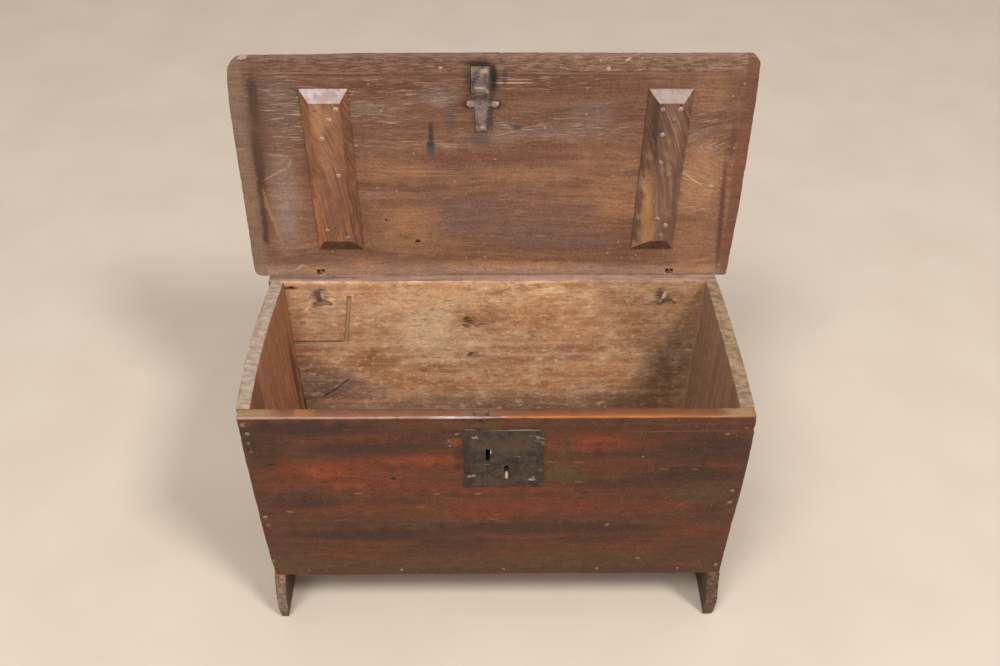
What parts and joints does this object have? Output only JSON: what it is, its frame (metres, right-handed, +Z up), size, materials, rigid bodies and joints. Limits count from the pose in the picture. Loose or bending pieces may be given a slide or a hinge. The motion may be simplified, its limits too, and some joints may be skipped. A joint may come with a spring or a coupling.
{
  "type": "coffer chest",
  "caption": "Boarded oak coffer on bootjack feet: a nailed box with a hinged plank lid on wire snipe hinges, chamfered lid cleats and a box lock whose bolt catches a lid staple.",
  "frame": {"origin": "bottom centre of the chest's box with the lid standing open, on the floor", "axes": "+X to the right seen from the front, +Y from the front to the back, +Z up"},
  "size_m": [0.8178, 0.4115, 0.8809],
  "materials": {
    "waxed_oak": "old waxed oak, deep red-brown with darker patches and worn orange arrises",
    "dry_oak": "unwaxed oak, dry golden to grey-brown with water stains",
    "end_oak": "vertical-grain oak, waxed outside and dry inside, rough grey-brown end grain",
    "lid_oak": "underside dry mid-brown oak with scratches and iron stains, top waxed dark",
    "cleat_oak": "warm brown oak battens with polished chamfers",
    "lock_iron": "forged iron, dark and pitted with brown waxed rust",
    "bolt_steel": "forged iron, rubbed where it slides",
    "rusty_iron": "forged wire, dull brown rust",
    "nail_iron": "hammered nail heads, dull with rubbed high spots"
  },
  "bodies": {
    "chest": {"front_board": "waxed_oak", "back_board": "dry_oak", "left_end_board": "end_oak", "right_end_board": "end_oak", "bottom_board": "dry_oak", "front_board_nails": "nail_iron", "back_board_nails": "nail_iron", "bottom_board_nails": "nail_iron", "lock_plate": "lock_iron", "lock_plate_nails": "nail_iron", "bolt_guides": "bolt_steel", "bolt_spring": "bolt_steel", "key_post": "bolt_steel", "key_ward": "bolt_steel", "left_back_hinge_pin": "rusty_iron", "right_back_hinge_pin": "rusty_iron"},
    "lid": {"lid_board": "lid_oak", "left_lid_cleat": "cleat_oak", "right_lid_cleat": "cleat_oak", "left_cleat_nails": "nail_iron", "right_cleat_nails": "nail_iron", "keeper_plate": "lock_iron", "keeper_plate_nails": "nail_iron", "lid_staple": "lock_iron", "left_lid_hinge_pin": "rusty_iron", "right_lid_hinge_pin": "rusty_iron"},
    "bolt": {"lock_bolt": "bolt_steel"}
  },
  "joints": [
    {"name": "lid_hinge", "type": "hinge", "parent": "chest", "child": "lid", "pos_m": [0, 0.14563, 0.503], "axis": [1, 0, 0], "range_deg": [0, 96.5]},
    {"name": "bolt_slide", "type": "slide", "parent": "chest", "child": "bolt", "axis": [-1, 0, 0], "range_m": [0, 0.009]}
  ]
}
